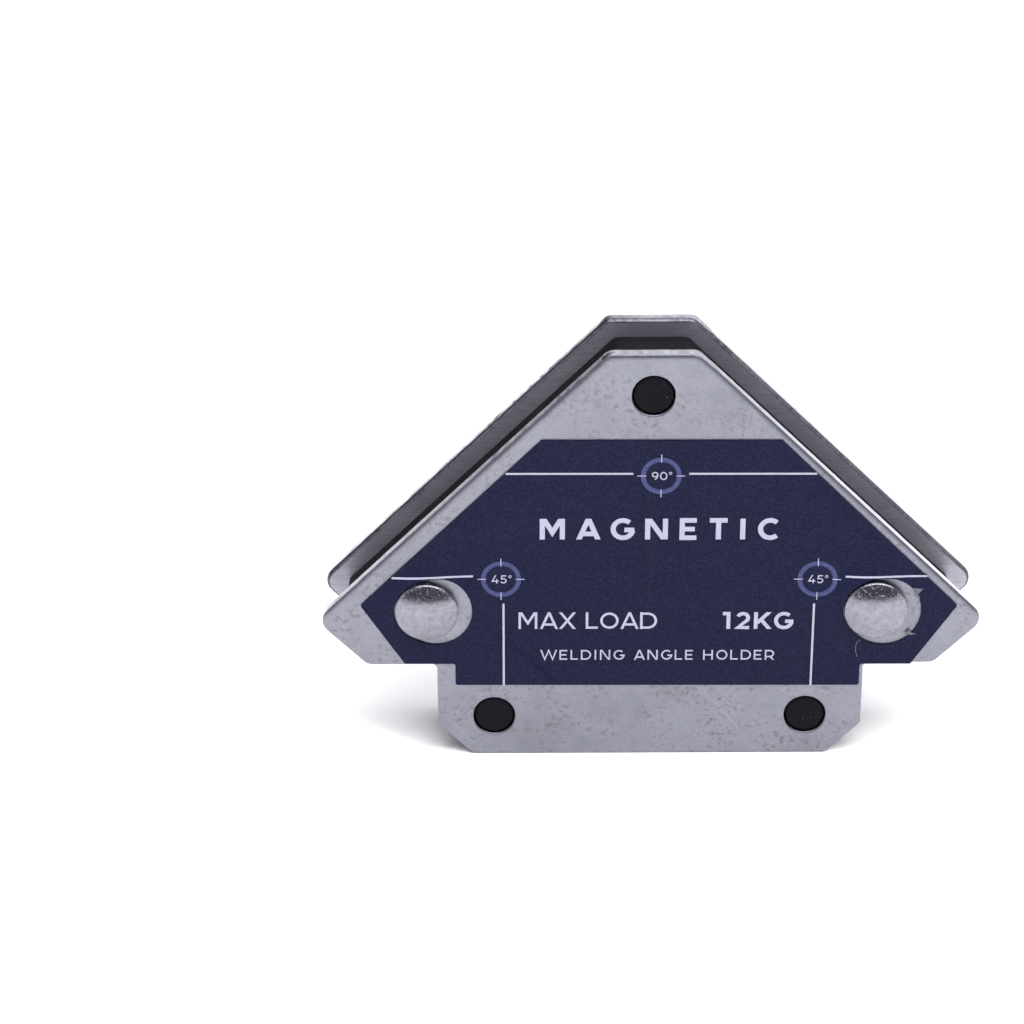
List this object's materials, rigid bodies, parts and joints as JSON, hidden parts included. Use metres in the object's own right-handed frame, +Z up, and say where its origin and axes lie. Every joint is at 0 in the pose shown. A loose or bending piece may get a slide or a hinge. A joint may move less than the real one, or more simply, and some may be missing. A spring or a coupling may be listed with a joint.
{
  "type": "welding magnet holder",
  "caption": "Arrow-shaped magnetic welding holder: riveted steel plates over a magnet core, with edges at 45, 90 and 135 degrees.",
  "frame": {"origin": "middle of the base, halfway between the two plates, where the bottom edges rest", "axes": "+X along the length of the base edge, +Y from the labelled plate to the rear plate, +Z up to the flat top"},
  "size_m": [0.083, 0.0162, 0.0565],
  "materials": {
    "plate_steel": "zinc plated, satin, mottled",
    "core_plastic": "moulded, matt",
    "ferrite": "sintered, matt",
    "rivet_metal": "bright, fine scratches",
    "sleeve_metal": "plain tube",
    "pin_plastic": "semi-gloss",
    "label_film": "printed satin film"
  },
  "bodies": {
    "root": {"front_plate": "plate_steel", "rear_plate": "plate_steel", "core_frame": "core_plastic", "magnet_upper": "ferrite", "magnet_left": "ferrite", "magnet_right": "ferrite", "magnet_lower": "ferrite", "rivet_left": "rivet_metal", "rivet_right": "rivet_metal", "sleeve_left": "sleeve_metal", "sleeve_right": "sleeve_metal", "pin_top": "pin_plastic", "pin_left": "pin_plastic", "pin_right": "pin_plastic", "label": "label_film"}
  },
  "joints": []
}
